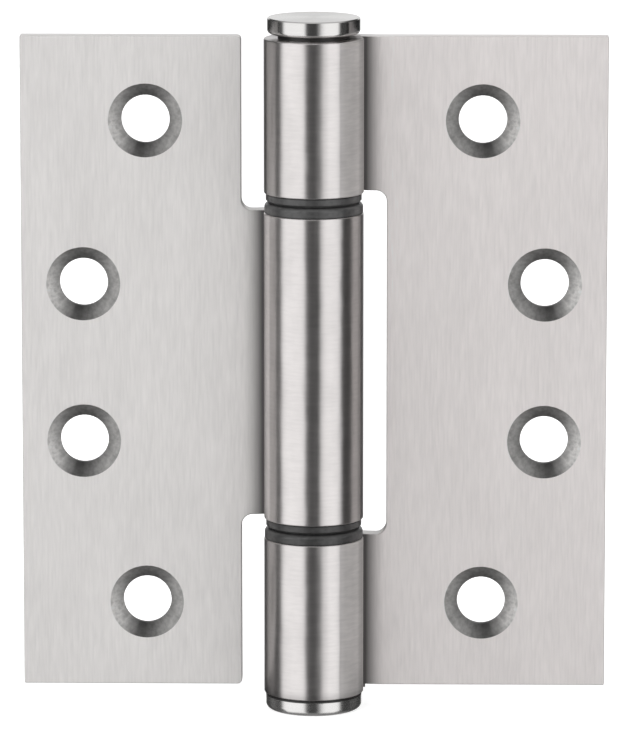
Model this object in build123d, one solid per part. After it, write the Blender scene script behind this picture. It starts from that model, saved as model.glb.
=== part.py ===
from build123d import *
import math
import os

# Heavy-duty butt hinge, laid open flat.
# Sizes are in millimetres. +Z runs up the pin, the countersunk faces look along -Y,
# and the origin lies on the pin axis at mid height of the leaves.

# Leaves
leaf_height = 114.3
leaf_reach = 50.8
leaf_thickness = 3.4
leaf_set_back = 2.2
leaf_edge_radius = 0.25
leaf_corner_radius = 0.8

# Screw holes in each leaf: two near the ends, two near the middle
end_hole_inset = 21.6
end_hole_spacing = 84.9
middle_hole_inset = 10.75
middle_hole_spacing = 27.7
screw_hole_diameter = 8.4
countersink_diameter = 12.8
countersink_angle = 90.0

# Pin
pin_diameter = 8.0
pin_running_clearance = 0.05
pin_tip_chamfer = 0.8
pin_end_gap = 0.4
pin_head_diameter = 16.1
pin_head_thickness = 2.8
pin_head_top_chamfer = 0.2
pin_head_lower_radius = 0.7
pin_shoulder_diameter = 12.4
pin_shoulder_height = 0.8
pin_locating_length = 6.0

# Rolled knuckles
knuckle_bore = 10.5
bend_reach = 12.4
cut_reach = 12.6
seam_gap = 0.35
outer_knuckle_length = 26.85
bottom_overhang = 0.6
overhang_margin = 0.3
notch_corner_radius = 1.9

# Flanged bearing bushes, two to each joint between knuckles
bush_length = 12.0
bush_seat_clearance = 0.03
bush_bore_chamfer = 0.3
bush_tail_chamfer = 0.4
bush_back_chamfer = 0.12
flange_running_gap = 0.05
upper_flange_diameter = 16.6
upper_flange_thickness = 1.6
upper_flange_chamfer = 0.45
lower_flange_diameter = 17.1
lower_flange_thickness = 1.8
lower_flange_radius = 0.75

# Bottom plug
plug_diameter = 16.7
plug_thickness = 2.9
plug_lower_radius = 1.0
plug_upper_chamfer = 0.3
plug_spigot_length = 7.0
plug_spigot_chamfer = 0.5
plug_seat_clearance = 0.03
plug_socket_clearance = 0.05
plug_socket_depth = 6.0
punch_hole_diameter = 3.0

# Places that follow from the sizes above
half_height = leaf_height / 2
bore_radius = knuckle_bore / 2
barrel_radius = bore_radius + leaf_thickness
roll_radius = bore_radius + leaf_thickness / 2
leaf_front = leaf_set_back
leaf_back = leaf_set_back + leaf_thickness
leaf_middle = leaf_set_back + leaf_thickness / 2
barrel_bottom = half_height + bottom_overhang
overhang_reach = barrel_radius + overhang_margin
bearing_height = upper_flange_thickness + flange_running_gap + lower_flange_thickness
outer_knuckle_end = half_height - outer_knuckle_length
middle_knuckle_end = outer_knuckle_end - bearing_height

# The sheet leaves the flat on an arc that is tangent to the rolled barrel
bend_radius = (bend_reach**2 + leaf_middle**2 - roll_radius**2) / (2 * (roll_radius - leaf_middle))
bend_centre_y = leaf_middle + bend_radius
bend_angle = math.degrees(math.atan2(bend_centre_y, bend_reach))


def polar(centre_x, centre_y, radius, angle):
    """Point at an angle, in degrees, on a circle in the plan of the hinge."""
    turn = math.radians(angle)
    return (centre_x + radius * math.cos(turn), centre_y + radius * math.sin(turn))


def arc(centre_x, centre_y, radius, start, end):
    """Arc between two angles, in degrees, on a circle in the plan of the hinge."""
    return ThreePointArc(
        polar(centre_x, centre_y, radius, start),
        polar(centre_x, centre_y, radius, (start + end) / 2),
        polar(centre_x, centre_y, radius, end),
    )


def rolled_section():
    """Plan section of a leaf: flat, reverse bend behind the pin, and the curl round it."""
    bend_back = bend_radius - leaf_thickness / 2
    bend_front = bend_radius + leaf_thickness / 2
    # The curl stops a seam gap in front of the leaf, on a face parallel to the flat
    front_at_barrel = bend_centre_y - math.sqrt(bend_front**2 - (bend_reach - barrel_radius) ** 2)
    curl_end = front_at_barrel - seam_gap
    outer_end = 360 + math.degrees(math.asin(curl_end / barrel_radius))
    inner_end = 360 + math.degrees(math.asin(curl_end / bore_radius))
    outline = [
        Line((leaf_reach, leaf_front), (leaf_reach, leaf_back)),
        Line((leaf_reach, leaf_back), (bend_reach, leaf_back)),
        arc(bend_reach, bend_centre_y, bend_back, 270, 180 + bend_angle),
        arc(0, 0, barrel_radius, bend_angle, outer_end),
        Line(polar(0, 0, barrel_radius, outer_end), polar(0, 0, bore_radius, inner_end)),
        arc(0, 0, bore_radius, inner_end, bend_angle),
        arc(bend_reach, bend_centre_y, bend_front, 180 + bend_angle, 270),
        Line((bend_reach, leaf_front), (leaf_reach, leaf_front)),
    ]
    return make_face(outline)


def sheet():
    """Full-height leaf, rolled along its whole length."""
    return extrude(rolled_section(), half_height, both=True)


def knuckle_gap(low, high):
    """Cutter that clears the barrel side of a leaf between two heights."""
    reach = cut_reach + 2 * barrel_radius
    window = Pos((cut_reach - reach / 2, (low + high) / 2)) * Rectangle(reach, high - low)
    corners = window.vertices().group_by(Axis.X)[-1]
    window = fillet(corners, notch_corner_radius)
    return extrude(Plane.XZ * window, 2 * barrel_radius, both=True)


def screw_hole(inset, height):
    """Cutter for one countersunk screw hole."""
    hole = screw_hole_diameter / 2
    mouth = countersink_diameter / 2
    depth = (mouth - hole) / math.tan(math.radians(countersink_angle / 2))
    section = Polyline(
        (0, 0),
        (mouth, 0),
        (hole, depth),
        (hole, leaf_thickness),
        (0, leaf_thickness),
        close=True,
    )
    cutter = revolve(make_face(section), Axis.Y)
    return Pos(leaf_reach - inset, leaf_front, height) * cutter


def screw_holes():
    """Cutters for the four screw holes of a leaf."""
    cutters = []
    for side in (-1, 1):
        cutters.append(screw_hole(end_hole_inset, side * end_hole_spacing / 2))
        cutters.append(screw_hole(middle_hole_inset, side * middle_hole_spacing / 2))
    return cutters


def break_edges(leaf):
    """Round the sharp edges of a leaf, except the upright ones inside the rolled part."""
    rolled = leaf.edges().filter_by(Axis.Z).filter_by_position(Axis.X, -barrel_radius, bend_reach)
    return fillet(leaf.edges() - rolled, leaf_edge_radius)


def below_leaf():
    """Cutter that ends the flat of the frame leaf above the foot of its bottom knuckle."""
    centre = (overhang_reach + leaf_reach / 2, -barrel_bottom)
    window = Pos(centre) * Rectangle(leaf_reach, 2 * bottom_overhang)
    return extrude(Plane.XZ * window, 2 * barrel_radius, both=True)


def build_frame_leaf():
    """Leaf on the frame side, which carries the two outer knuckles."""
    foot = Pos(0, 0, -barrel_bottom) * extrude(rolled_section(), bottom_overhang)
    leaf = sheet() + foot - knuckle_gap(-outer_knuckle_end, outer_knuckle_end)
    leaf = break_edges(leaf) - below_leaf()
    lower = leaf.edges().filter_by(Axis.X).filter_by_position(Axis.Z, -half_height, -half_height)
    return fillet(lower, leaf_edge_radius) - screw_holes()


def build_door_leaf():
    """Leaf on the door side, which carries the middle knuckle."""
    beyond = half_height + barrel_radius
    upper = knuckle_gap(middle_knuckle_end, beyond)
    lower = knuckle_gap(-beyond, -middle_knuckle_end)
    leaf = sheet() - upper - lower
    corners = leaf.edges().filter_by(Axis.Y).group_by(Axis.Z)
    inner_corners = [corners[end].sort_by(Axis.X)[0] for end in (0, -1)]
    leaf = break_edges(fillet(inner_corners, leaf_corner_radius))
    return mirror(leaf - screw_holes(), Plane.YZ)


def lower_rounding(rim, base, radius):
    """Rounded lower edge of a turned piece, in half section, from its side to its base."""
    centre = rim - radius
    middle = polar(centre, base + radius, radius, -45)
    return ThreePointArc((rim, base + radius), middle, (centre, base))


def build_pin():
    """Headed pin: shoulder on the knuckle, locating length in its bore, then the shank."""
    shoulder_top = half_height + pin_shoulder_height
    head_top = shoulder_top + pin_head_thickness
    locating_end = half_height - pin_locating_length
    tip = plug_socket_floor() + pin_end_gap
    head = pin_head_diameter / 2
    shoulder = pin_shoulder_diameter / 2
    locating = bore_radius - pin_running_clearance
    shank = pin_diameter / 2
    rounding = lower_rounding(head, shoulder_top, pin_head_lower_radius)
    start = rounding @ 0
    finish = rounding @ 1
    rest = Polyline(
        (finish.X, finish.Y),
        (shoulder, shoulder_top),
        (shoulder, half_height),
        (locating, half_height),
        (locating, locating_end),
        (shank, locating_end - (locating - shank)),
        (shank, tip + pin_tip_chamfer),
        (shank - pin_tip_chamfer, tip),
        (0, tip),
        (0, head_top),
        (head - pin_head_top_chamfer, head_top),
        (head, head_top - pin_head_top_chamfer),
        (start.X, start.Y),
    )
    return revolve(Plane.XZ * make_face([rounding, rest]), Axis.Z)


def build_bush(diameter, thickness, edge):
    """Flanged bush with its running face at height zero and its tail pointing down.

    The edge is the outline of the flange rim from the running face to the outside.
    """
    rim = diameter / 2
    tail = bore_radius - bush_seat_clearance
    bore = pin_diameter / 2 + pin_running_clearance
    end = -thickness - bush_length
    start = edge @ 0
    finish = edge @ 1
    rest = Polyline(
        (finish.X, finish.Y),
        (rim, -thickness + bush_back_chamfer),
        (rim - bush_back_chamfer, -thickness),
        (tail, -thickness),
        (tail, end + bush_tail_chamfer),
        (tail - bush_tail_chamfer, end),
        (bore, end),
        (bore, -bush_bore_chamfer),
        (bore + bush_bore_chamfer, 0),
        (start.X, start.Y),
    )
    return revolve(Plane.XZ * make_face([edge, rest]), Axis.Z)


def build_upper_bush():
    """Bush above a joint, with a chamfered flange rim, as seen with its tail down."""
    rim = upper_flange_diameter / 2
    cut = upper_flange_chamfer
    edge = Line((rim - cut, 0), (rim, -cut))
    return build_bush(upper_flange_diameter, upper_flange_thickness, edge)


def build_lower_bush():
    """Bush below a joint, with a rounded flange rim."""
    rim = lower_flange_diameter / 2
    radius = lower_flange_radius
    middle = polar(rim - radius, -radius, radius, 45)
    edge = ThreePointArc((rim - radius, 0), middle, (rim, -radius))
    return build_bush(lower_flange_diameter, lower_flange_thickness, edge)


def plug_socket_floor():
    """Height of the floor of the socket that takes the tip of the pin."""
    return -barrel_bottom + plug_spigot_length - plug_socket_depth


def build_plug():
    """Plug pressed into the bottom knuckle, with a socket for the pin and a punch hole."""
    rim = plug_diameter / 2
    spigot = bore_radius - plug_seat_clearance
    socket = pin_diameter / 2 + plug_socket_clearance
    punch = punch_hole_diameter / 2
    seat = -barrel_bottom
    base = seat - plug_thickness
    mouth = seat + plug_spigot_length
    floor = plug_socket_floor()
    rounding = lower_rounding(rim, base, plug_lower_radius)
    start = rounding @ 0
    finish = rounding @ 1
    rest = Polyline(
        (finish.X, finish.Y),
        (punch, base),
        (punch, floor),
        (socket, floor),
        (socket, mouth),
        (spigot - plug_spigot_chamfer, mouth),
        (spigot, mouth - plug_spigot_chamfer),
        (spigot, seat),
        (rim - plug_upper_chamfer, seat),
        (rim, seat - plug_upper_chamfer),
        (start.X, start.Y),
    )
    return revolve(Plane.XZ * make_face([rounding, rest]), Axis.Z)


def build_bushes():
    """Four flanged bushes by node name, each with its flange on its own knuckle."""
    bushes = {}
    pairs = (
        (1, "top_knuckle_bush", "middle_knuckle_upper_bush"),
        (-1, "middle_knuckle_lower_bush", "bottom_knuckle_bush"),
    )
    for side, above, below in pairs:
        joint_bottom = middle_knuckle_end if side > 0 else -outer_knuckle_end
        lower_face = joint_bottom + lower_flange_thickness
        upper_face = lower_face + flange_running_gap
        bushes[above] = Pos(0, 0, upper_face) * mirror(build_upper_bush(), Plane.XY)
        bushes[below] = Pos(0, 0, lower_face) * build_lower_bush()
    return bushes


nodes = {
    "frame_leaf": build_frame_leaf(),
    "door_leaf": build_door_leaf(),
    "hinge_pin": build_pin(),
    "bottom_plug": build_plug(),
}
nodes.update(build_bushes())

os.makedirs("parts", exist_ok=True)
for node_name, solid in nodes.items():
    export_step(solid, os.path.join("parts", node_name + ".step"))
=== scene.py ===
"""Looks of a heavy-duty door hinge: finishes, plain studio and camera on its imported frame."""

import logging
import math
from dataclasses import dataclass
from enum import Enum
from typing import Dict, NamedTuple, Sequence, Tuple, Union

import bpy
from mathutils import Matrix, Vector


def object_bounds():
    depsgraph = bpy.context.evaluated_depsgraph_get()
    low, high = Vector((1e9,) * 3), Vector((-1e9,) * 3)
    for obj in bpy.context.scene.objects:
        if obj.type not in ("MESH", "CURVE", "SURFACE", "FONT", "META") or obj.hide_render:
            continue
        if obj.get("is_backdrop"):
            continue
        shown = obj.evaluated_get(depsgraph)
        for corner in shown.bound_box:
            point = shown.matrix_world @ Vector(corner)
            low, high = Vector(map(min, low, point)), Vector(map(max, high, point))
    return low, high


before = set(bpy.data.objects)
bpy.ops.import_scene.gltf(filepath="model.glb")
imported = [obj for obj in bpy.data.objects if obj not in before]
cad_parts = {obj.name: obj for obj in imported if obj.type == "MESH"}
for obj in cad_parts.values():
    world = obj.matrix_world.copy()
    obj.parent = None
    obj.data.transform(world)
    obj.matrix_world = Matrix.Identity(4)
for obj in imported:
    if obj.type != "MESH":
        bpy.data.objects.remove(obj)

log = logging.getLogger("hinge")

Colour = Tuple[float, float, float]
Stops = Tuple[Tuple[float, float], ...]
Span = Tuple[float, float]
Socket = bpy.types.NodeSocket
Value = Union[float, Tuple[float, ...], Socket]

MM = 0.001
# A noise node stays within about 0.25 to 0.75, which this stretches to about -1 to 1
NOISE_STRETCH = 4.0
# How softly a scratch starts, in units of its noise
SCRATCH_SOFTNESS = 0.35
WHITE = (1.0, 1.0, 1.0)
# Sockets of a Mix node: its mask and its two inputs, for numbers and for colours
MIX_NUMBERS = (0, 2, 3)
MIX_COLOURS = (0, 6, 7)
MIXED_COLOUR = 2


class Grain(Enum):
    """Which way a finish runs: stretch of its streaks, then of its broad drift, per mm."""

    UP_THE_LEAF = ((2.6, 2.6, 0.23), (0.16, 0.16, 0.04))
    ROUND_THE_PIN = ((0.35, 0.5, 2.2), (0.35, 0.1, 0.12))
    ROUND_THE_HOLE = ((1.7, 1.6, 0.0), (1.1, 0.9, 0.0))
    TURNED = ((0.12, 3.5, 3.5), (0.3, 0.3, 0.3))


class Look(NamedTuple):
    """What a finish feeds to its shader."""

    colour: Socket
    roughness: Socket
    way: Value
    relief: Socket


# Shader graphs


class Graph:
    """A node tree with short calls for the nodes that the finishes use."""

    def __init__(self, tree: bpy.types.NodeTree) -> None:
        """Wraps a tree.

        Args:
            tree: The node tree of a material, a world or a group.
        """
        self.tree = tree

    def node(self, kind: str, **settings: object) -> bpy.types.Node:
        """Adds a node.

        Args:
            kind: Its type name.
            settings: Properties to set on it.

        Returns:
            The new node.
        """
        made = self.tree.nodes.new(kind)
        for name, value in settings.items():
            setattr(made, name, value)
        return made

    def feed(self, value: Value, socket: Socket) -> None:
        """Links a socket into another, or sets a plain value on it.

        Args:
            value: A socket or a value.
            socket: The input that takes it.
        """
        if isinstance(value, Socket):
            self.tree.links.new(value, socket)
        else:
            socket.default_value = value

    def math(self, operation: str, *values: Value, clamp: bool = False) -> Socket:
        """Adds a Math node.

        Args:
            operation: Its operation.
            values: Its inputs, in order.
            clamp: Whether the result is held between 0 and 1.

        Returns:
            The result.
        """
        made = self.node("ShaderNodeMath", operation=operation, use_clamp=clamp)
        for value, socket in zip(values, made.inputs):
            self.feed(value, socket)
        return made.outputs[0]

    def vector(self, operation: str, *values: Value) -> Socket:
        """Adds a Vector Math node.

        Args:
            operation: Its operation.
            values: Its inputs, in order.

        Returns:
            The resulting vector.
        """
        made = self.node("ShaderNodeVectorMath", operation=operation)
        for value, socket in zip(values, made.inputs):
            self.feed(value, socket)
        return made.outputs["Vector"]

    def distance(self, across: Value, along: Value) -> Socket:
        """Finds how far a place lies from a centre.

        Args:
            across: Its offset one way.
            along: Its offset the other way.

        Returns:
            The distance.
        """
        squares = self.math("MULTIPLY_ADD", across, across, self.math("MULTIPLY", along, along))
        return self.math("SQRT", squares)

    def scaled(self, vector: Value, factor: Value) -> Socket:
        """Multiplies a vector by one number.

        Args:
            vector: The vector.
            factor: The number.

        Returns:
            The scaled vector.
        """
        made = self.node("ShaderNodeVectorMath", operation="SCALE")
        self.feed(vector, made.inputs["Vector"])
        self.feed(factor, made.inputs["Scale"])
        return made.outputs["Vector"]

    def joined(self, x: Value, y: Value, z: Value) -> Socket:
        """Puts three numbers together as a vector.

        Args:
            x: First part.
            y: Second part.
            z: Third part.

        Returns:
            The vector.
        """
        made = self.node("ShaderNodeCombineXYZ")
        for value, socket in zip((x, y, z), made.inputs):
            self.feed(value, socket)
        return made.outputs[0]

    def parts(self, vector: Value) -> Tuple[Socket, ...]:
        """Takes a vector apart.

        Args:
            vector: The vector.

        Returns:
            Its x, y and z.
        """
        made = self.node("ShaderNodeSeparateXYZ")
        self.feed(vector, made.inputs[0])
        return tuple(made.outputs)

    def between(self, mask: Value, low: Value, high: Value) -> Socket:
        """Mixes two numbers.

        Args:
            mask: 0 for the first, 1 for the second.
            low: First number.
            high: Second number.

        Returns:
            The mixed number.
        """
        made = self.node("ShaderNodeMix", data_type="FLOAT", clamp_factor=True)
        for value, place in zip((mask, low, high), MIX_NUMBERS):
            self.feed(value, made.inputs[place])
        return made.outputs[0]

    def tinted(self, mask: Value, low: Value, high: Value) -> Socket:
        """Mixes two colours.

        Args:
            mask: 0 for the first, 1 for the second.
            low: First colour.
            high: Second colour.

        Returns:
            The mixed colour.
        """
        made = self.node("ShaderNodeMix", data_type="RGBA", clamp_factor=True)
        for value, place in zip((mask, low, high), MIX_COLOURS):
            value = (*value, 1.0) if isinstance(value, tuple) else value
            self.feed(value, made.inputs[place])
        return made.outputs[MIXED_COLOUR]

    def ease(
        self, value: Value, start: Value, end: Value, low: float = 0.0, high: float = 1.0
    ) -> Socket:
        """Turns a range of a value into a smooth step.

        Args:
            value: The value.
            start: Where the step starts.
            end: Where it ends.
            low: Result before the step.
            high: Result after it.

        Returns:
            The stepped value.
        """
        made = self.node("ShaderNodeMapRange", interpolation_type="SMOOTHSTEP")
        for item, socket in zip((value, start, end, low, high), made.inputs):
            self.feed(item, socket)
        return made.outputs[0]

    def ramp(self, value: Value, stops: Stops, interpolation: str = "EASE") -> Socket:
        """Reads a level from a table of stops.

        Args:
            value: Where it is read, 0 to 1.
            stops: Place and level of each stop, in order.
            interpolation: How it runs between them.

        Returns:
            The level.
        """
        made = self.node("ShaderNodeValToRGB")
        table = made.color_ramp
        table.interpolation = interpolation
        while len(table.elements) < len(stops):
            table.elements.new(0.5)
        for element, (place, level) in zip(table.elements, stops):
            element.position = place
            element.color = (level, level, level, 1.0)
        self.feed(value, made.inputs["Fac"])
        return made.outputs["Color"]

    def round_ramp(self, angle: Value, stops: Stops) -> Socket:
        """Reads a level from a table of stops in degrees.

        Args:
            angle: Where it is read, in radians.
            stops: Degrees from -180 to 180 and level of each stop, in order.

        Returns:
            The level.
        """
        turn = self.math("MULTIPLY_ADD", angle, 1 / math.tau, 0.5)
        return self.ramp(turn, tuple((degrees / 360 + 0.5, level) for degrees, level in stops))

    def mixed(self, mask: Socket, under: Look, over: Look) -> Look:
        """Lays one finish over another.

        Args:
            mask: 0 for the lower finish, 1 for the upper one.
            under: The lower finish.
            over: The upper finish.

        Returns:
            The finish of both.
        """
        rest = self.math("SUBTRACT", 1.0, mask)
        return Look(
            self.tinted(mask, under.colour, over.colour),
            self.between(mask, under.roughness, over.roughness),
            self.vector("ADD", self.scaled(under.way, rest), self.scaled(over.way, mask)),
            self.between(mask, under.relief, over.relief),
        )

    def in_world(self, way: Value) -> Socket:
        """Turns a direction on the piece into one in the world.

        Args:
            way: Direction in the piece's own frame.

        Returns:
            The same direction in the world.
        """
        turn = self.node(
            "ShaderNodeVectorTransform",
            vector_type="VECTOR",
            convert_from="OBJECT",
            convert_to="WORLD",
        )
        self.feed(way, turn.inputs[0])
        return turn.outputs[0]

    def bump(self, height: Value, shader: bpy.types.Node) -> None:
        """Gives a shader its relief.

        Args:
            height: Height in millimetres.
            shader: The Principled shader.
        """
        made = self.node("ShaderNodeBump")
        made.inputs["Strength"].default_value = 1.0
        made.inputs["Distance"].default_value = MM
        self.feed(height, made.inputs["Height"])
        self.feed(made.outputs["Normal"], shader.inputs["Normal"])

    def noise(self, vector: Value, scale: float, detail: float = 2.0) -> Socket:
        """Adds soft noise round zero.

        Args:
            vector: Where it is read.
            scale: How fine it is.
            detail: How many finer layers it has.

        Returns:
            Noise of about -1 to 1.
        """
        made = self.node("ShaderNodeTexNoise", noise_dimensions="3D")
        self.feed(vector, made.inputs["Vector"])
        made.inputs["Scale"].default_value = scale
        made.inputs["Detail"].default_value = detail
        return self.math("MULTIPLY_ADD", made.outputs["Fac"], NOISE_STRETCH, -NOISE_STRETCH / 2)

    def group(self, tree: bpy.types.NodeTree, **values: Value) -> bpy.types.Node:
        """Places a shared group.

        Args:
            tree: The group's tree.
            values: Its inputs by name, with spaces as underscores.

        Returns:
            The group node.
        """
        made = self.node("ShaderNodeGroup", node_tree=tree)
        for name, value in values.items():
            self.feed(value, made.inputs[name.replace("_", " ")])
        return made

    def millimetres(self) -> Socket:
        """Object coordinates in millimetres."""
        return self.scaled(self.node("ShaderNodeTexCoord").outputs["Object"], 1 / MM)


class Effects:
    """Shader effects that more than one finish uses, each built once as a group."""

    def __init__(self) -> None:
        """Builds the groups."""
        self.round_place = self._round_place()
        self.brushed_grain = self._brushed_grain()
        self.scratches = self._scratches()

    @staticmethod
    def _start(
        name: str, inputs: Dict[str, str], outputs: Dict[str, str]
    ) -> Tuple[Graph, bpy.types.Node, bpy.types.Node]:
        """Makes an empty group with named sockets.

        Args:
            name: The group's name.
            inputs: Socket type of each input by name.
            outputs: Socket type of each output by name.

        Returns:
            Its graph, its input node and its output node.
        """
        tree = bpy.data.node_groups.new(name, "ShaderNodeTree")
        for sockets, side in ((inputs, "INPUT"), (outputs, "OUTPUT")):
            for label, kind in sockets.items():
                tree.interface.new_socket(label, in_out=side, socket_type="NodeSocket" + kind)
        graph = Graph(tree)
        return graph, graph.node("NodeGroupInput"), graph.node("NodeGroupOutput")

    def _round_place(self) -> bpy.types.NodeTree:
        """Place on a round piece: way round, distance from the axis and height.

        Returns:
            The group's tree.
        """
        graph, given, result = self._start(
            "Round Place",
            {"Vector": "Vector"},
            {"Place": "Vector", "Angle": "Float"},
        )
        x, y, z = graph.parts(given.outputs["Vector"])
        radius = graph.distance(x, y)
        angle = graph.math("ARCTAN2", x, graph.math("MULTIPLY", y, -1.0))
        way = graph.math("MULTIPLY", angle, radius)
        graph.feed(graph.joined(way, radius, z), result.inputs["Place"])
        graph.feed(angle, result.inputs["Angle"])
        return graph.tree

    def _brushed_grain(self) -> bpy.types.NodeTree:
        """Fine streaks along one direction and a broad drift of tone.

        Returns:
            The group's tree.
        """
        graph, given, result = self._start(
            "Brushed Grain",
            {"Vector": "Vector", "Stretch": "Vector", "Broad Stretch": "Vector"},
            {"Streak": "Float", "Drift": "Float"},
        )
        fine = graph.vector("MULTIPLY", given.outputs["Vector"], given.outputs["Stretch"])
        broad = graph.vector("MULTIPLY", given.outputs["Vector"], given.outputs["Broad Stretch"])
        graph.feed(graph.noise(fine, scale=1.0, detail=4.0), result.inputs["Streak"])
        graph.feed(graph.noise(broad, scale=1.0, detail=2.0), result.inputs["Drift"])
        return graph.tree

    def _scratches(self) -> bpy.types.NodeTree:
        """A few thin scratches out of a stretched noise.

        Returns:
            The group's tree.
        """
        graph, given, result = self._start(
            "Thin Scratches",
            {"Vector": "Vector", "Stretch": "Vector", "Threshold": "Float"},
            {"Mask": "Float"},
        )
        place = graph.vector("MULTIPLY", given.outputs["Vector"], given.outputs["Stretch"])
        start = given.outputs["Threshold"]
        end = graph.math("ADD", start, SCRATCH_SOFTNESS)
        noise = graph.noise(place, scale=1.0, detail=3.0)
        graph.feed(graph.ease(noise, start, end), result.inputs["Mask"])
        return graph.tree


# Finishes


def new_material(name: str) -> Tuple[bpy.types.Material, Graph, bpy.types.Node]:
    """Starts a material.

    Args:
        name: Its name.

    Returns:
        The material, its graph and its Principled shader.
    """
    material = bpy.data.materials.new(name)
    material.use_nodes = True
    graph = Graph(material.node_tree)
    return material, graph, material.node_tree.nodes["Principled BSDF"]


@dataclass(frozen=True)
class Zone:
    """Finish of one zone of a sheet.

    Attributes:
        colour: Its colour.
        roughness: Its roughness.
        grain: Which way it runs.
        tone: How much the streaks lighten and darken it.
        rub: How much the streaks change its roughness.
        bite: Height of the streaks in millimetres.
        drift: How much of the tone goes to the broad drift.
    """

    colour: Colour
    roughness: float
    grain: Grain
    tone: float
    rub: float
    bite: float
    drift: float = 0.6

    def look(self, graph: Graph, effects: Effects, place: Value, way: Value) -> Look:
        """Builds the zone's part of the material.

        Args:
            graph: The material's graph.
            effects: The shared groups.
            place: Coordinates in which the grain is straight, in millimetres.
            way: Direction in which the highlight spreads.

        Returns:
            The zone's look.
        """
        stretch, broad = self.grain.value
        grain = graph.group(
            effects.brushed_grain, Vector=place, Stretch=stretch, Broad_Stretch=broad
        )
        streak = grain.outputs["Streak"]
        light = graph.math("MULTIPLY_ADD", streak, self.tone, 1.0)
        light = graph.math("MULTIPLY_ADD", grain.outputs["Drift"], self.tone * self.drift, light)
        return Look(
            graph.scaled(self.colour, light),
            graph.math("MULTIPLY_ADD", streak, self.rub, self.roughness),
            way,
            graph.math("MULTIPLY", streak, self.bite),
        )


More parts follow.
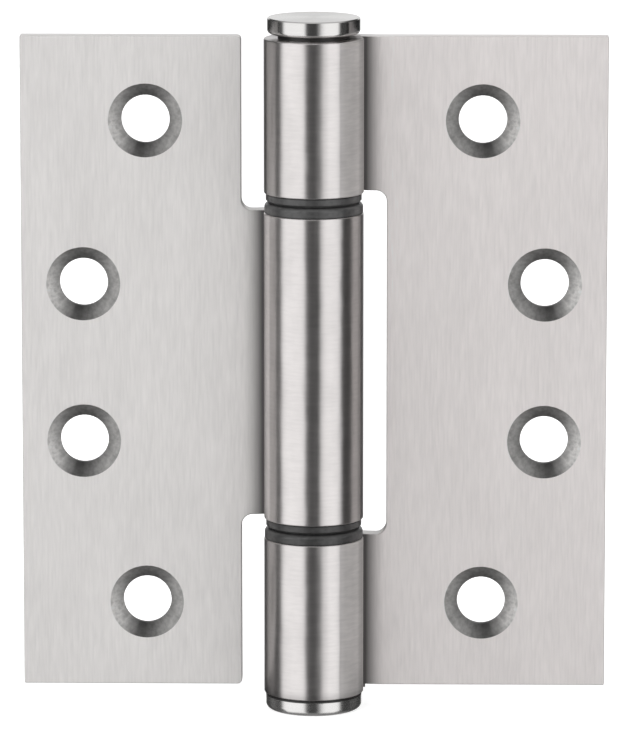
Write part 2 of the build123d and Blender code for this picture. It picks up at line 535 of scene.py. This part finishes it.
@dataclass(frozen=True)
class SheetSteel:
    """Stainless sheet: grain up the leaf, brushed round the knuckles, turned countersinks.

    Painted shade darkens the crease beside a knuckle; the last of the curl stays rough.
    """

    name: str = "brushed sheet steel"
    leaf: Zone = Zone(
        (0.905, 0.885, 0.873), 0.70, Grain.UP_THE_LEAF, tone=0.053, rub=0.02, bite=0.0012, drift=0.5
    )
    knuckle: Zone = Zone(
        (0.715, 0.688, 0.68),
        0.33,
        Grain.ROUND_THE_PIN,
        tone=0.062,
        rub=0.03,
        bite=0.0012,
        drift=0.9,
    )
    curl: Zone = Zone(
        (0.72, 0.692, 0.68), 0.55, Grain.ROUND_THE_PIN, tone=0.09, rub=0.05, bite=0.0016
    )
    cone: Zone = Zone(
        (0.98, 0.965, 0.95), 0.42, Grain.ROUND_THE_HOLE, tone=0.21, rub=0.05, bite=0.0030, drift=0.8
    )
    anisotropy: float = 0.9
    leaf_metallic: float = 0.6
    # Directions in which highlights spread: on the leaf, and how far they splay on a knuckle
    leaf_way: Tuple[float, float, float] = (1.0, 0.15, 0.0)
    knuckle_splay: float = 0.04
    # Lengths in millimetres; a knuckle's finish reaches a little past its radius
    barrel_radius: float = 8.65
    barrel_margin: float = 0.06
    joint_height: float = 28.5
    # Painted shade on the sheet's cut edges, and the squareness to the front that tells them
    cut_edge_shade: float = 0.66
    cut_span: Span = (0.55, 0.95)
    # Painted highlight on the faces that look up, and the rise that tells them
    top_painted_highlight: float = 1.1
    knuckle_top_painted_highlight: float = 1.35
    up_span: Span = (0.5, 0.9)
    # Height of the sheet's lower edge, and how much painted light lightens the frame leaf per mm
    # upwards
    lower_edge: float = -57.2
    painted_fade: float = 0.0004
    # Painted light that the frame leaf adds beside its crease, the tone past it, and its tint
    inner_span: Span = (12.0, 21.0)
    inner_painted_light: float = 0.068
    frame_tone: float = -0.012
    frame_tint: Colour = (1.006, 0.986, 0.988)
    # Heights between which the lower end of the barrel darkens
    lower_darkening: Span = (-57.8, -56.0)
    lower_darkening_tone: float = 0.72
    # Painted shade in the crease beside the barrel: its width in mm, its darkest lightness and how
    # it falls off
    crease_width: float = 4.0
    crease_shade_depth: float = 0.18
    crease_power: float = 2.0
    # Slight unevenness of the knuckles
    wave_stretch: Tuple[float, float, float] = (1.0, 1.0, 0.7)
    wave_scale: float = 0.13
    wave_height: float = 0.026
    # Where the rough end of the curl starts, as a share of the barrel's radius
    curl_span: Span = (0.54, 0.66)
    # Countersinks: places of the holes, edges of the cone and its painted shade down and painted
    # highlight at the mouth
    hole_places: Tuple[Span, ...] = ((29.2, 42.45), (40.05, 13.85))
    mouth_radius: float = 6.4
    mouth_margin: float = 0.03
    back_face: float = 5.6
    back_margin: float = 0.05
    cone_span: Span = (4.1, 6.0)
    cone_depth_shade: Span = (0.72, 1.2)
    cone_girth: float = 5.0
    cone_slope: float = 1.5
    # Painted reflection and shade round a knuckle, by degrees from its front towards its own leaf
    outer_painted_shade: Stops = (
        (-90, 0.55),
        (-78, 0.46),
        (-70, 0.42),
        (-66, 0.50),
        (-60, 0.58),
        (-52, 0.66),
        (-42, 1.0),
        (3, 1.0),
        (8, 0.72),
        (14, 0.88),
        (20, 1.0),
        (62, 1.0),
        (70, 0.78),
        (76, 0.66),
        (90, 0.55),
    )
    middle_painted_shade: Stops = (
        (-90, 0.6),
        (-78, 0.6),
        (-72, 0.42),
        (-66, 0.46),
        (-60, 0.60),
        (-46, 0.64),
        (-41, 0.78),
        (-36, 1.0),
        (-10, 1.0),
        (-5, 0.66),
        (-2, 1.0),
        (46, 1.0),
        (53, 0.66),
        (58, 0.66),
        (64, 1.0),
        (90, 1.0),
    )
    # Painted reflection and shade round a countersink, by degrees from its outer side; down is -90
    cone_painted_reflection: Stops = (
        (-180, 0.47),
        (-140, 0.45),
        (-118, 0.38),
        (-98, 0.30),
        (-86, 0.18),
        (-76, 0.18),
        (-60, 0.36),
        (-38, 0.66),
        (-20, 0.80),
        (2, 0.74),
        (22, 0.60),
        (42, 0.47),
        (62, 0.46),
        (90, 0.43),
        (118, 0.44),
        (142, 0.48),
        (180, 0.47),
    )

    def material(self, effects: Effects) -> bpy.types.Material:
        """Builds the material.

        Args:
            effects: The shared groups.

        Returns:
            The material.
        """
        material, graph, shader = new_material(self.name)
        place = graph.millimetres()
        x, y, z = graph.parts(place)
        turned = graph.group(effects.round_place, Vector=place)
        radius = graph.distance(x, y)

        leaf = self.leaf.look(graph, effects, place, self.leaf_way)
        up, flat = self.facing(graph)
        # Painted shade on the cut edges, which face sideways
        cut_shade = graph.ease(flat, *self.cut_span, self.cut_edge_shade, 1.0)
        # Painted shade in the crease beside the barrel, times painted shade on the cut edges
        leaf_light = graph.math("MULTIPLY", self.crease_shade(graph, x), cut_shade)
        # Painted highlight on the faces that look up
        leaf_light = graph.between(up, leaf_light, self.top_painted_highlight)
        # Painted light on the frame leaf: lighter beside its crease and lighter upwards
        frame_side = graph.math("GREATER_THAN", x, 0.0)
        inner = graph.ease(x, *self.inner_span, self.inner_painted_light, self.frame_tone)
        inner = graph.math("MULTIPLY", frame_side, inner)
        faded = graph.math("MULTIPLY", z, frame_side)
        faded = graph.math("MULTIPLY_ADD", faded, self.painted_fade, graph.math("ADD", inner, 1.0))
        leaf_light = graph.math("MULTIPLY", leaf_light, faded)
        tint = graph.tinted(frame_side, WHITE, self.frame_tint)
        colour = graph.vector("MULTIPLY", graph.scaled(leaf.colour, leaf_light), tint)
        leaf = leaf._replace(colour=colour)

        splay_x, splay_y = (graph.math("MULTIPLY", part, self.knuckle_splay) for part in (x, y))
        round_way = graph.joined(splay_x, splay_y, 1.0)
        knuckle = self.knuckle.look(graph, effects, turned.outputs["Place"], round_way)
        knuckle = self.waved(graph, knuckle, place)
        curl_way = graph.joined(graph.math("MULTIPLY", y, -1.0), x, 0.0)
        curl = self.curl.look(graph, effects, turned.outputs["Place"], curl_way)
        knuckle = graph.mixed(self.curl_mask(graph, x, z, radius), knuckle, curl)
        # Painted reflection and shade round the knuckle
        tone = self.knuckle_painted_shade(graph, turned.outputs["Angle"], z)
        # Painted highlight on the knuckle's faces that look up
        tone = graph.math("MULTIPLY", tone, graph.between(up, 1.0, self.knuckle_top_painted_highlight))
        # Darker towards the lower end of the barrel
        low, high = self.lower_darkening
        tone = graph.math("MULTIPLY", tone, graph.ease(z, low, high, self.lower_darkening_tone, 1.0))
        knuckle = knuckle._replace(colour=graph.scaled(knuckle.colour, tone))

        on_knuckle = graph.math("LESS_THAN", radius, self.barrel_radius + self.barrel_margin)
        on_knuckle = graph.math("MAXIMUM", on_knuckle, graph.math("LESS_THAN", z, self.lower_edge))
        look = graph.mixed(on_knuckle, leaf, knuckle)
        look, on_cone = self.with_cones(graph, effects, look, place)

        graph.feed(look.colour, shader.inputs["Base Color"])
        graph.feed(look.roughness, shader.inputs["Roughness"])
        graph.feed(graph.in_world(look.way), shader.inputs["Tangent"])
        graph.bump(look.relief, shader)
        bare = graph.math("MAXIMUM", on_knuckle, on_cone)
        metallic = graph.between(bare, self.leaf_metallic, 1.0)
        graph.feed(metallic, shader.inputs["Metallic"])
        shader.inputs["Anisotropic"].default_value = self.anisotropy
        return material

    def crease_shade(self, graph: Graph, x: Value) -> Socket:
        """Painted shade of the crease beside the barrel.

        Args:
            graph: The material's graph.
            x: Distance from the pin axis along the leaf.

        Returns:
            Lightness: the darkest painted shade at the barrel, 1 on the open leaf.
        """
        away = graph.math("SUBTRACT", graph.math("ABSOLUTE", x), self.barrel_radius)
        part = graph.math("DIVIDE", away, self.crease_width, clamp=True)
        rest = graph.math("POWER", graph.math("SUBTRACT", 1.0, part), self.crease_power)
        return graph.math("MAXIMUM", graph.math("SUBTRACT", 1.0, rest), self.crease_shade_depth)

    def facing(self, graph: Graph) -> Tuple[Socket, Socket]:
        """Which way the sheet's faces look.

        Args:
            graph: The material's graph.

        Returns:
            1 on faces that look up, and how squarely a face looks to the front or the back.
        """
        normal = graph.node("ShaderNodeTexCoord").outputs["Normal"]
        _, through, rise = graph.parts(normal)
        return graph.ease(rise, *self.up_span), graph.math("ABSOLUTE", through)

    def knuckle_painted_shade(self, graph: Graph, angle: Value, z: Value) -> Socket:
        """Painted reflection and shade round a knuckle, from a table for outer or middle knuckles.

        Args:
            graph: The material's graph.
            angle: Way round the pin from the front, in radians.
            z: Height.

        Returns:
            The lightness.
        """
        outer = graph.math("GREATER_THAN", graph.math("ABSOLUTE", z), self.joint_height)
        middle = graph.round_ramp(graph.math("MULTIPLY", angle, -1.0), self.middle_painted_shade)
        return graph.between(outer, middle, graph.round_ramp(angle, self.outer_painted_shade))

    def waved(self, graph: Graph, knuckle: Look, place: Value) -> Look:
        """Adds the slight unevenness of a rolled knuckle.

        Args:
            graph: The material's graph.
            knuckle: The knuckle's look.
            place: Coordinates in millimetres.

        Returns:
            The uneven knuckle's look.
        """
        waves = graph.noise(graph.vector("MULTIPLY", place, self.wave_stretch), self.wave_scale)
        relief = graph.math("MULTIPLY_ADD", waves, self.wave_height, knuckle.relief)
        return knuckle._replace(relief=relief)

    def curl_mask(self, graph: Graph, x: Value, z: Value, radius: Value) -> Socket:
        """Where the end of the curl stays rough: on the leaf's side of the outer knuckles.

        Args:
            graph: The material's graph.
            x: Place along the leaf.
            z: Height.
            radius: Distance from the pin axis.

        Returns:
            The mask.
        """
        outer = graph.math("GREATER_THAN", graph.math("ABSOLUTE", z), self.joint_height)
        side = graph.math("MULTIPLY", x, graph.between(outer, -1.0, 1.0))
        reached = graph.ease(graph.math("DIVIDE", side, radius), *self.curl_span)
        return graph.math("MULTIPLY", reached, outer)

    def with_cones(
        self, graph: Graph, effects: Effects, look: Look, place: Value
    ) -> Tuple[Look, Socket]:
        """Lays the turned countersinks over the sheet.

        Args:
            graph: The material's graph.
            effects: The shared groups.
            look: The sheet's look.
            place: Coordinates in millimetres.

        Returns:
            The look with its countersinks, and their mask, which leaves the flat back out.
        """
        x, y, z = graph.parts(place)
        # The nearer of the two screw holes in this quarter of the leaf
        offsets = []
        for hole_x, hole_z in self.hole_places:
            out_x = graph.math("SUBTRACT", graph.math("ABSOLUTE", x), hole_x)
            out_z = graph.math("SUBTRACT", graph.math("ABSOLUTE", z), hole_z)
            offsets.append((graph.distance(out_x, out_z), out_x, out_z))
        (far, far_x, far_z), (near, near_x, near_z) = offsets
        first = graph.math("LESS_THAN", far, near)
        away = graph.math("MINIMUM", far, near)
        outward = graph.between(first, near_x, far_x)
        up = graph.math("MULTIPLY", graph.between(first, near_z, far_z), graph.math("SIGN", z))
        out_x = graph.math("MULTIPLY", outward, graph.math("SIGN", x))
        angle = graph.math("ARCTAN2", up, outward)

        cone_place = graph.joined(graph.math("MULTIPLY", angle, self.cone_girth), away, 0.0)
        cone_way = graph.joined(out_x, self.cone_slope, up)
        cone = self.cone.look(graph, effects, cone_place, cone_way)
        # Painted reflection round the countersink, with painted shade down the cone and a painted
        # highlight at its mouth
        depth = graph.ease(away, *self.cone_span, *self.cone_depth_shade)
        cone_reflection = graph.scaled(graph.round_ramp(angle, self.cone_painted_reflection), depth)
        cone = cone._replace(colour=graph.vector("MULTIPLY", cone.colour, cone_reflection))
        in_mouth = graph.math("LESS_THAN", away, self.mouth_radius + self.mouth_margin)
        in_front = graph.math("LESS_THAN", y, self.back_face - self.back_margin)
        on_cone = graph.math("MULTIPLY", in_mouth, in_front)
        return graph.mixed(on_cone, look, cone), on_cone


@dataclass(frozen=True)
class Recess:
    """Band of a round piece that gets painted shade, between two heights and within a radius."""

    low: float
    high: float
    radius: float
    softness: float = 0.08

    def mask(self, graph: Graph, place: Socket) -> Socket:
        """Finds the band.

        Args:
            graph: The material's graph.
            place: Round place: way round, radius and height in millimetres.

        Returns:
            1 in the band, 0 elsewhere.
        """
        _, radius, height = graph.parts(place)
        above = graph.ease(height, self.low - self.softness, self.low)
        below = graph.ease(height, self.high + self.softness, self.high)
        inside = graph.math("LESS_THAN", radius, self.radius)
        return graph.math("MULTIPLY", graph.math("MULTIPLY", above, below), inside)


@dataclass(frozen=True)
class TurnedSteel:
    """Turned stainless bar: fine tool marks round the axis, thin scratches, painted shade in a
    recess and a painted reflection round the rim.
    """

    name: str
    colour: Colour
    roughness: float
    recess: Recess
    # Lightness of the painted shade in the recess, and the recess's roughness
    recess_shade: float = 0.16
    recess_roughness: float = 0.6
    anisotropy: float = 0.7
    # How much highlights spread along the axis as well as outwards
    axial_spread: float = 0.35
    tone: float = 0.025
    rub: float = 0.02
    bite: float = 0.0004
    scratch_stretch: Tuple[float, float, float] = (0.5, 2.6, 1.4)
    scratch_threshold: float = 0.7
    scratch_tone: float = -0.22
    # Painted reflection and shade round the piece above a height, by degrees from its front
    rim_height: float = 57.9
    rim_span: Span = (0.3, 0.9)
    rim_painted_reflection: Stops = (
        (-90, 0.62),
        (-60, 0.62),
        (-54, 0.42),
        (-50, 0.38),
        (-44, 1.0),
        (42, 1.0),
        (48, 0.45),
        (54, 0.34),
        (64, 0.34),
        (74, 0.38),
        (90, 0.5),
    )

    def material(self, effects: Effects) -> bpy.types.Material:
        """Builds the material.

        Args:
            effects: The shared groups.

        Returns:
            The material.
        """
        material, graph, shader = new_material(self.name)
        place = graph.millimetres()
        x, y, z = graph.parts(place)
        normal = graph.node("ShaderNodeTexCoord").outputs["Normal"]
        outward = graph.vector("NORMALIZE", graph.joined(x, y, 0.0))
        way = graph.vector("ADD", outward, (0.0, 0.0, self.axial_spread))
        around = graph.group(effects.round_place, Vector=place)
        turned = around.outputs["Place"]
        zone = Zone(self.colour, self.roughness, Grain.TURNED, self.tone, self.rub, self.bite)
        look = zone.look(graph, effects, turned, way)
        scratches = graph.group(
            effects.scratches,
            Vector=place,
            Stretch=self.scratch_stretch,
            Threshold=self.scratch_threshold,
        )
        light = graph.math("MULTIPLY_ADD", scratches.outputs["Mask"], self.scratch_tone, 1.0)
        # Painted shade in the recess band
        in_recess = self.recess.mask(graph, turned)
        light = graph.math("MULTIPLY", light, graph.between(in_recess, 1.0, self.recess_shade))
        # Painted reflection and shade round the rim of the head
        rise = graph.math("ABSOLUTE", graph.parts(normal)[2])
        side = graph.ease(graph.math("SUBTRACT", 1.0, rise, clamp=True), *self.rim_span)
        on_rim = graph.math("MULTIPLY", side, graph.math("GREATER_THAN", z, self.rim_height))
        rim_shade = graph.round_ramp(around.outputs["Angle"], self.rim_painted_reflection)
        light = graph.math("MULTIPLY", light, graph.between(on_rim, 1.0, rim_shade))
        graph.feed(graph.scaled(look.colour, light), shader.inputs["Base Color"])
        roughness = graph.between(in_recess, look.roughness, self.recess_roughness)
        graph.feed(roughness, shader.inputs["Roughness"])
        graph.feed(graph.in_world(look.way), shader.inputs["Tangent"])
        graph.bump(look.relief, shader)
        shader.inputs["Metallic"].default_value = 1.0
        shader.inputs["Anisotropic"].default_value = self.anisotropy
        return material


@dataclass(frozen=True)
class BearingMetal:
    """Dull dark grey bearing metal with faint rubbed streaks."""

    name: str = "dull bearing metal"
    colour: Colour = (0.088, 0.088, 0.088)
    # Lightness of the bushes of the lower joint, which get less light
    lower_tone: float = 0.76
    roughness: float = 0.34
    metallic: float = 0.45
    tone: float = 0.10
    rub: float = 0.05
    bite: float = 0.0010
    grit_scale: float = 1.3
    grit_tone: float = 0.22
    grit_height: float = 0.003
    scratch_stretch: Tuple[float, float, float] = (0.2, 1.0, 3.0)
    scratch_threshold: float = 0.6
    scratch_tone: float = 0.5
    # Heights of the seams with the knuckles, where painted shade darkens the bushes
    seams: Tuple[float, float] = (26.85, 30.3)
    seam_width: float = 0.32
    seam_shade_tone: float = 0.25

    def material(self, effects: Effects) -> bpy.types.Material:
        """Builds the material.

        Args:
            effects: The shared groups.

        Returns:
            The material.
        """
        material, graph, shader = new_material(self.name)
        place = graph.millimetres()
        turned = graph.group(effects.round_place, Vector=place).outputs["Place"]
        zone = Zone(
            self.colour, self.roughness, Grain.ROUND_THE_PIN, self.tone, self.rub, self.bite
        )
        look = zone.look(graph, effects, turned, (0.0, 0.0, 1.0))
        grit = graph.noise(place, self.grit_scale, detail=3.0)
        scratches = graph.group(
            effects.scratches,
            Vector=turned,
            Stretch=self.scratch_stretch,
            Threshold=self.scratch_threshold,
        )
        light = graph.math("MULTIPLY_ADD", grit, self.grit_tone, 1.0)
        light = graph.math("MULTIPLY_ADD", scratches.outputs["Mask"], self.scratch_tone, light)
        z = graph.parts(place)[2]
        height = graph.math("ABSOLUTE", z)
        # Painted shade at the seams with the knuckles
        away = graph.math("MINIMUM", *(
            graph.math("ABSOLUTE", graph.math("SUBTRACT", height, seam)) for seam in self.seams
        ))
        seam_shading = graph.ease(away, 0.0, self.seam_width, self.seam_shade_tone, 1.0)
        light = graph.math("MULTIPLY", light, seam_shading)
        lower = graph.math("LESS_THAN", z, 0.0)
        light = graph.math("MULTIPLY", light, graph.between(lower, 1.0, self.lower_tone))
        graph.feed(graph.scaled(look.colour, light), shader.inputs["Base Color"])
        graph.feed(look.roughness, shader.inputs["Roughness"])
        graph.bump(graph.math("MULTIPLY_ADD", grit, self.grit_height, look.relief), shader)
        shader.inputs["Metallic"].default_value = self.metallic
        return material


# Sub-assemblies


@dataclass
class Leaves:
    """The two leaves, each with the knuckles rolled from its sheet."""

    nodes: Tuple[str, ...] = ("frame_leaf", "door_leaf")
    finish: SheetSteel = SheetSteel()

    def dress(self, effects: Effects) -> None:
        """Gives the leaves their finish.

        Args:
            effects: The shared groups.
        """
        material = self.finish.material(effects)
        for node in self.nodes:
            dress_node(node, material)


@dataclass
class Pin:
    """Headed pin."""

    node: str = "hinge_pin"
    finish: TurnedSteel = TurnedSteel(
        name="turned pin steel",
        colour=(0.70, 0.69, 0.68),
        roughness=0.19,
        recess=Recess(low=57.1, high=57.95, radius=6.3),
    )

    def dress(self, effects: Effects) -> None:
        """Gives the pin its finish.

        Args:
            effects: The shared groups.
        """
        dress_node(self.node, self.finish.material(effects))


@dataclass
class Plug:
    """Plug in the bottom knuckle."""

    node: str = "bottom_plug"
    finish: TurnedSteel = TurnedSteel(
        name="turned plug steel",
        colour=(0.72, 0.71, 0.70),
        roughness=0.24,
        recess=Recess(low=-58.2, high=-57.7, radius=9.0),
    )

    def dress(self, effects: Effects) -> None:
        """Gives the plug its finish.

        Args:
            effects: The shared groups.
        """
        dress_node(self.node, self.finish.material(effects))


@dataclass
class Bushes:
    """The four flanged bushes."""

    nodes: Tuple[str, ...] = (
        "top_knuckle_bush",
        "middle_knuckle_upper_bush",
        "middle_knuckle_lower_bush",
        "bottom_knuckle_bush",
    )
    finish: BearingMetal = BearingMetal()

    def dress(self, effects: Effects) -> None:
        """Gives the bushes their finish.

        Args:
            effects: The shared groups.
        """
        material = self.finish.material(effects)
        for node in self.nodes:
            dress_node(node, material)


def dress_node(node: str, material: bpy.types.Material) -> None:
    """Puts a material in every slot of a node of the frame.

    Args:
        node: The node's name.
        material: The material.
    """
    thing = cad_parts[node]
    if not thing.material_slots:
        thing.data.materials.append(material)
    for slot in thing.material_slots:
        slot.material = material
    log.info("%s: %s", node, material.name)


# Studio


@dataclass(frozen=True)
class Lamp:
    """Soft square lamp that points at the hinge, in metres and watts."""

    name: str
    place: Tuple[float, float, float]
    size: float
    power: float


@dataclass
class Studio:
    """Plain pale floor, soft light, two white walls with dark gaps, and the camera."""

    floor_size: float = 6.0
    floor_colour: Colour = (0.86, 0.86, 0.86)
    floor_roughness: float = 0.9
    floor_glow: float = 0.54
    lamps: Tuple[Lamp, ...] = (
        Lamp("key", (-0.9, -1.0, 1.3), 1.2, 14.0),
        Lamp("fill", (1.1, -0.9, 1.0), 1.4, 9.0),
    )
    # Even light on dull surfaces, from the front and from behind
    ambient: float = 0.6
    ambient_behind: float = 1.5
    ambient_span: Span = (0.0, 0.8)
    wall_light: float = 1.5
    # Lightness of the walls round the hinge, by degrees from the front towards +X
    wall_levels: Stops = (
        (-180, 0.60),
        (-168, 0.60),
        (-156, 0.04),
        (-140, 0.05),
        (-116, 0.13),
        (-100, 0.08),
        (-86, 0.08),
        (-74, 1.0),
        (-24, 1.0),
        (-15, 0.06),
        (8, 0.05),
        (14, 0.28),
        (22, 0.82),
        (31, 1.0),
        (62, 1.0),
        (72, 0.05),
        (92, 0.05),
        (110, 0.08),
        (140, 0.05),
        (156, 0.04),
        (168, 0.60),
        (180, 0.60),
    )
    # The wall behind the hinge, and the directions, as parts of a unit vector, in which it starts
    back_wall: float = 0.70
    back_span: Span = (0.82, 0.94)
    back_rise: Span = (-0.02, 0.12)
    overhead: float = 0.52
    overhead_rise: Span = (0.6, 0.85)
    below: float = 0.22
    below_rise: Span = (-0.6, -0.85)
    camera_azimuth: float = 1.0
    camera_elevation: float = 10.0
    camera_distance: float = 1.1
    camera_lens: float = 312.8
    camera_sensor: float = 36.0
    camera_target: Tuple[float, float, float] = (0.13 * MM, 0.0, 0.05 * MM)

    def build_world(self) -> None:
        """Makes the world: white to the camera, walls to the metal, even light to the rest."""
        world = bpy.data.worlds.new("studio")
        bpy.context.scene.world = world
        world.use_nodes = True
        graph = Graph(world.node_tree)
        graph.tree.nodes.clear()
        x, y, z = graph.parts(graph.node("ShaderNodeTexCoord").outputs["Generated"])
        angle = graph.math("ARCTAN2", x, graph.math("MULTIPLY", y, -1.0))
        level = graph.round_ramp(angle, self.wall_levels)
        behind = graph.ease(y, *self.back_span)
        above = graph.ease(z, *self.back_rise)
        level = graph.between(graph.math("MULTIPLY", behind, above), level, self.back_wall)
        level = graph.between(graph.ease(z, *self.overhead_rise), level, self.overhead)
        level = graph.between(graph.ease(z, *self.below_rise), level, self.below)
        level = graph.math("MULTIPLY", level, self.wall_light)
        path = graph.node("ShaderNodeLightPath")
        glossy, through = (path.outputs[f"Is {kind} Ray"] for kind in ("Glossy", "Transmission"))
        shiny = graph.math("MAXIMUM", glossy, through)
        even = graph.ease(y, *self.ambient_span, self.ambient, self.ambient_behind)
        strength = graph.between(shiny, even, level)
        strength = graph.between(path.outputs["Is Camera Ray"], strength, 1.0)
        background = graph.node("ShaderNodeBackground")
        graph.feed(strength, background.inputs["Strength"])
        output = graph.node("ShaderNodeOutputWorld")
        graph.feed(background.outputs[0], output.inputs["Surface"])

    def build_floor(self, height: float) -> None:
        """Lays the floor.

        Args:
            height: Where the hinge stands.
        """
        mesh = bpy.data.meshes.new("floor")
        half = self.floor_size / 2
        corners = ((-half, -half), (half, -half), (half, half), (-half, half))
        mesh.from_pydata([(x, y, height) for x, y in corners], [], [(0, 1, 2, 3)])
        floor = bpy.data.objects.new("floor", mesh)
        bpy.context.scene.collection.objects.link(floor)
        floor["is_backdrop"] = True
        floor.visible_glossy = False
        material, graph, shader = new_material("pale floor")
        shader.inputs["Base Color"].default_value = (*self.floor_colour, 1.0)
        shader.inputs["Roughness"].default_value = self.floor_roughness
        shader.inputs["Emission Color"].default_value = (*WHITE, 1.0)
        path = graph.node("ShaderNodeLightPath")
        seen = graph.math("MAXIMUM", path.outputs["Is Camera Ray"], path.outputs["Is Glossy Ray"])
        seen = graph.math("MAXIMUM", seen, path.outputs["Is Transmission Ray"])
        glow = graph.math("MULTIPLY", seen, self.floor_glow)
        graph.feed(glow, shader.inputs["Emission Strength"])
        mesh.materials.append(material)

    def build_lamps(self) -> None:
        """Hangs a soft lamp on each side."""
        for lamp in self.lamps:
            light = bpy.data.lights.new(lamp.name, "AREA")
            light.shape = "SQUARE"
            light.size = lamp.size
            light.energy = lamp.power
            hung = bpy.data.objects.new(lamp.name, light)
            bpy.context.scene.collection.objects.link(hung)
            hung.location = lamp.place
            hung.rotation_euler = (-Vector(lamp.place)).to_track_quat("-Z", "Y").to_euler()
            hung.visible_glossy = False

    def build_camera(self) -> None:
        """Sets the camera in front of the hinge, a little above it."""
        data = bpy.data.cameras.new("camera")
        data.sensor_fit = "VERTICAL"
        data.sensor_height = self.camera_sensor
        data.sensor_width = self.camera_sensor
        data.lens = self.camera_lens
        camera = bpy.data.objects.new("camera", data)
        bpy.context.scene.collection.objects.link(camera)
        azimuth = math.radians(self.camera_azimuth)
        elevation = math.radians(self.camera_elevation)
        out = Vector((
            math.sin(azimuth) * math.cos(elevation),
            -math.cos(azimuth) * math.cos(elevation),
            math.sin(elevation),
        ))
        camera.location = Vector(self.camera_target) + out * self.camera_distance
        camera.rotation_euler = (-out).to_track_quat("-Z", "Y").to_euler()
        bpy.context.scene.camera = camera

    def build(self, low: Sequence[float]) -> None:
        """Builds the whole studio.

        Args:
            low: Lowest corner of the hinge.
        """
        self.build_world()
        self.build_floor(low[2])
        self.build_lamps()
        self.build_camera()
        bpy.context.scene.view_settings.view_transform = "Standard"
        log.info("studio built")


def main() -> None:
    """Dresses the hinge and builds the studio under it."""
    logging.basicConfig(level=logging.INFO, format="%(name)s: %(message)s")
    cad_box = [list(corner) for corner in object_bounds()]
    effects = Effects()
    Leaves().dress(effects)
    Pin().dress(effects)
    Plug().dress(effects)
    Bushes().dress(effects)
    Studio().build(cad_box[0])


if __name__ == "__main__":
    main()
